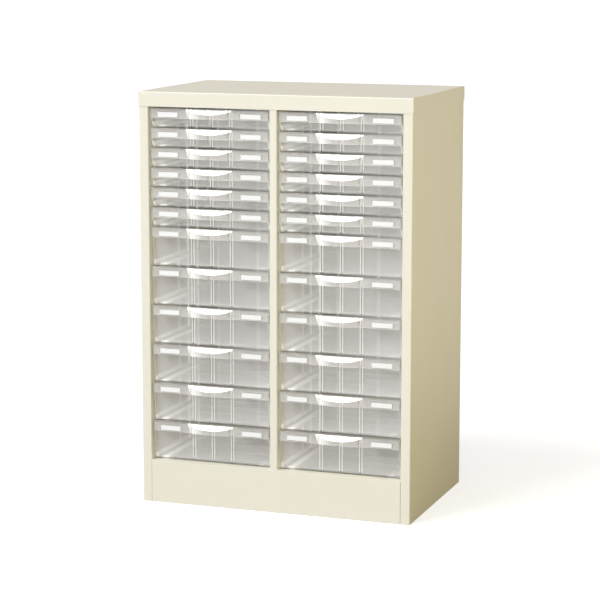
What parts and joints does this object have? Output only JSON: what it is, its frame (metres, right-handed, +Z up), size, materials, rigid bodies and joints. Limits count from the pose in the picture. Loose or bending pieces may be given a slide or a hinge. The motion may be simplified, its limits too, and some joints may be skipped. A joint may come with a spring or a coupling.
{
  "type": "drawer cabinet",
  "caption": "Tall two-column floor cabinet of folded ivory sheet steel, with shallow clear drawers over deep ones; each slides on ledges and has a bowed pull and label cards.",
  "frame": {"origin": "bottom centre of the whole cabinet, on the floor; its box takes in the bowed pulls, which stand 3 mm in front of the top cap", "axes": "+Z up; the drawers face and open towards -Y; +X to the right seen from the front"},
  "size_m": [0.6, 0.388, 0.88],
  "materials": {
    "ivory_paint": "ivory powder coat, satin, very fine texture",
    "clear_plastic": "clear moulded polystyrene, glossy, slightly grey",
    "label_card": "plain white card, matt"
  },
  "bodies": {
    "carcass": {"top_cap": "ivory_paint", "left_side_panel": "ivory_paint", "right_side_panel": "ivory_paint", "back_panel": "ivory_paint", "centre_partition": "ivory_paint", "base_shelf": "ivory_paint", "kick_plate": "ivory_paint", "runner_rack_left_outer": "ivory_paint", "runner_rack_left_inner": "ivory_paint", "runner_rack_right_outer": "ivory_paint", "runner_rack_right_inner": "ivory_paint"},
    "drawer_left_01": {"tray_left_01": "clear_plastic", "label_cards_left_01": "label_card"},
    "drawer_left_02": {"tray_left_02": "clear_plastic", "label_cards_left_02": "label_card"},
    "drawer_left_03": {"tray_left_03": "clear_plastic", "label_cards_left_03": "label_card"},
    "drawer_left_04": {"tray_left_04": "clear_plastic", "label_cards_left_04": "label_card"},
    "drawer_left_05": {"tray_left_05": "clear_plastic", "label_cards_left_05": "label_card"},
    "drawer_left_06": {"tray_left_06": "clear_plastic", "label_cards_left_06": "label_card"},
    "drawer_left_07": {"tray_left_07": "clear_plastic", "label_cards_left_07": "label_card"},
    "drawer_left_08": {"tray_left_08": "clear_plastic", "label_cards_left_08": "label_card"},
    "drawer_left_09": {"tray_left_09": "clear_plastic", "label_cards_left_09": "label_card"},
    "drawer_left_10": {"tray_left_10": "clear_plastic", "label_cards_left_10": "label_card"},
    "drawer_left_11": {"tray_left_11": "clear_plastic", "label_cards_left_11": "label_card"},
    "drawer_left_12": {"tray_left_12": "clear_plastic", "label_cards_left_12": "label_card"},
    "drawer_right_01": {"tray_right_01": "clear_plastic", "label_cards_right_01": "label_card"},
    "drawer_right_02": {"tray_right_02": "clear_plastic", "label_cards_right_02": "label_card"},
    "drawer_right_03": {"tray_right_03": "clear_plastic", "label_cards_right_03": "label_card"},
    "drawer_right_04": {"tray_right_04": "clear_plastic", "label_cards_right_04": "label_card"},
    "drawer_right_05": {"tray_right_05": "clear_plastic", "label_cards_right_05": "label_card"},
    "drawer_right_06": {"tray_right_06": "clear_plastic", "label_cards_right_06": "label_card"},
    "drawer_right_07": {"tray_right_07": "clear_plastic", "label_cards_right_07": "label_card"},
    "drawer_right_08": {"tray_right_08": "clear_plastic", "label_cards_right_08": "label_card"},
    "drawer_right_09": {"tray_right_09": "clear_plastic", "label_cards_right_09": "label_card"},
    "drawer_right_10": {"tray_right_10": "clear_plastic", "label_cards_right_10": "label_card"},
    "drawer_right_11": {"tray_right_11": "clear_plastic", "label_cards_right_11": "label_card"},
    "drawer_right_12": {"tray_right_12": "clear_plastic", "label_cards_right_12": "label_card"}
  },
  "joints": [
    {"name": "drawer_left_01_slide", "type": "slide", "parent": "carcass", "child": "drawer_left_01", "axis": [0, -1, 0], "range_m": [0, 0.3]},
    {"name": "drawer_left_02_slide", "type": "slide", "parent": "carcass", "child": "drawer_left_02", "axis": [0, -1, 0], "range_m": [0, 0.3]},
    {"name": "drawer_left_03_slide", "type": "slide", "parent": "carcass", "child": "drawer_left_03", "axis": [0, -1, 0], "range_m": [0, 0.3]},
    {"name": "drawer_left_04_slide", "type": "slide", "parent": "carcass", "child": "drawer_left_04", "axis": [0, -1, 0], "range_m": [0, 0.3]},
    {"name": "drawer_left_05_slide", "type": "slide", "parent": "carcass", "child": "drawer_left_05", "axis": [0, -1, 0], "range_m": [0, 0.3]},
    {"name": "drawer_left_06_slide", "type": "slide", "parent": "carcass", "child": "drawer_left_06", "axis": [0, -1, 0], "range_m": [0, 0.3]},
    {"name": "drawer_left_07_slide", "type": "slide", "parent": "carcass", "child": "drawer_left_07", "axis": [0, -1, 0], "range_m": [0, 0.3]},
    {"name": "drawer_left_08_slide", "type": "slide", "parent": "carcass", "child": "drawer_left_08", "axis": [0, -1, 0], "range_m": [0, 0.3]},
    {"name": "drawer_left_09_slide", "type": "slide", "parent": "carcass", "child": "drawer_left_09", "axis": [0, -1, 0], "range_m": [0, 0.3]},
    {"name": "drawer_left_10_slide", "type": "slide", "parent": "carcass", "child": "drawer_left_10", "axis": [0, -1, 0], "range_m": [0, 0.3]},
    {"name": "drawer_left_11_slide", "type": "slide", "parent": "carcass", "child": "drawer_left_11", "axis": [0, -1, 0], "range_m": [0, 0.3]},
    {"name": "drawer_left_12_slide", "type": "slide", "parent": "carcass", "child": "drawer_left_12", "axis": [0, -1, 0], "range_m": [0, 0.3]},
    {"name": "drawer_right_01_slide", "type": "slide", "parent": "carcass", "child": "drawer_right_01", "axis": [0, -1, 0], "range_m": [0, 0.3]},
    {"name": "drawer_right_02_slide", "type": "slide", "parent": "carcass", "child": "drawer_right_02", "axis": [0, -1, 0], "range_m": [0, 0.3]},
    {"name": "drawer_right_03_slide", "type": "slide", "parent": "carcass", "child": "drawer_right_03", "axis": [0, -1, 0], "range_m": [0, 0.3]},
    {"name": "drawer_right_04_slide", "type": "slide", "parent": "carcass", "child": "drawer_right_04", "axis": [0, -1, 0], "range_m": [0, 0.3]},
    {"name": "drawer_right_05_slide", "type": "slide", "parent": "carcass", "child": "drawer_right_05", "axis": [0, -1, 0], "range_m": [0, 0.3]},
    {"name": "drawer_right_06_slide", "type": "slide", "parent": "carcass", "child": "drawer_right_06", "axis": [0, -1, 0], "range_m": [0, 0.3]},
    {"name": "drawer_right_07_slide", "type": "slide", "parent": "carcass", "child": "drawer_right_07", "axis": [0, -1, 0], "range_m": [0, 0.3]},
    {"name": "drawer_right_08_slide", "type": "slide", "parent": "carcass", "child": "drawer_right_08", "axis": [0, -1, 0], "range_m": [0, 0.3]},
    {"name": "drawer_right_09_slide", "type": "slide", "parent": "carcass", "child": "drawer_right_09", "axis": [0, -1, 0], "range_m": [0, 0.3]},
    {"name": "drawer_right_10_slide", "type": "slide", "parent": "carcass", "child": "drawer_right_10", "axis": [0, -1, 0], "range_m": [0, 0.3]},
    {"name": "drawer_right_11_slide", "type": "slide", "parent": "carcass", "child": "drawer_right_11", "axis": [0, -1, 0], "range_m": [0, 0.3]},
    {"name": "drawer_right_12_slide", "type": "slide", "parent": "carcass", "child": "drawer_right_12", "axis": [0, -1, 0], "range_m": [0, 0.3]}
  ]
}
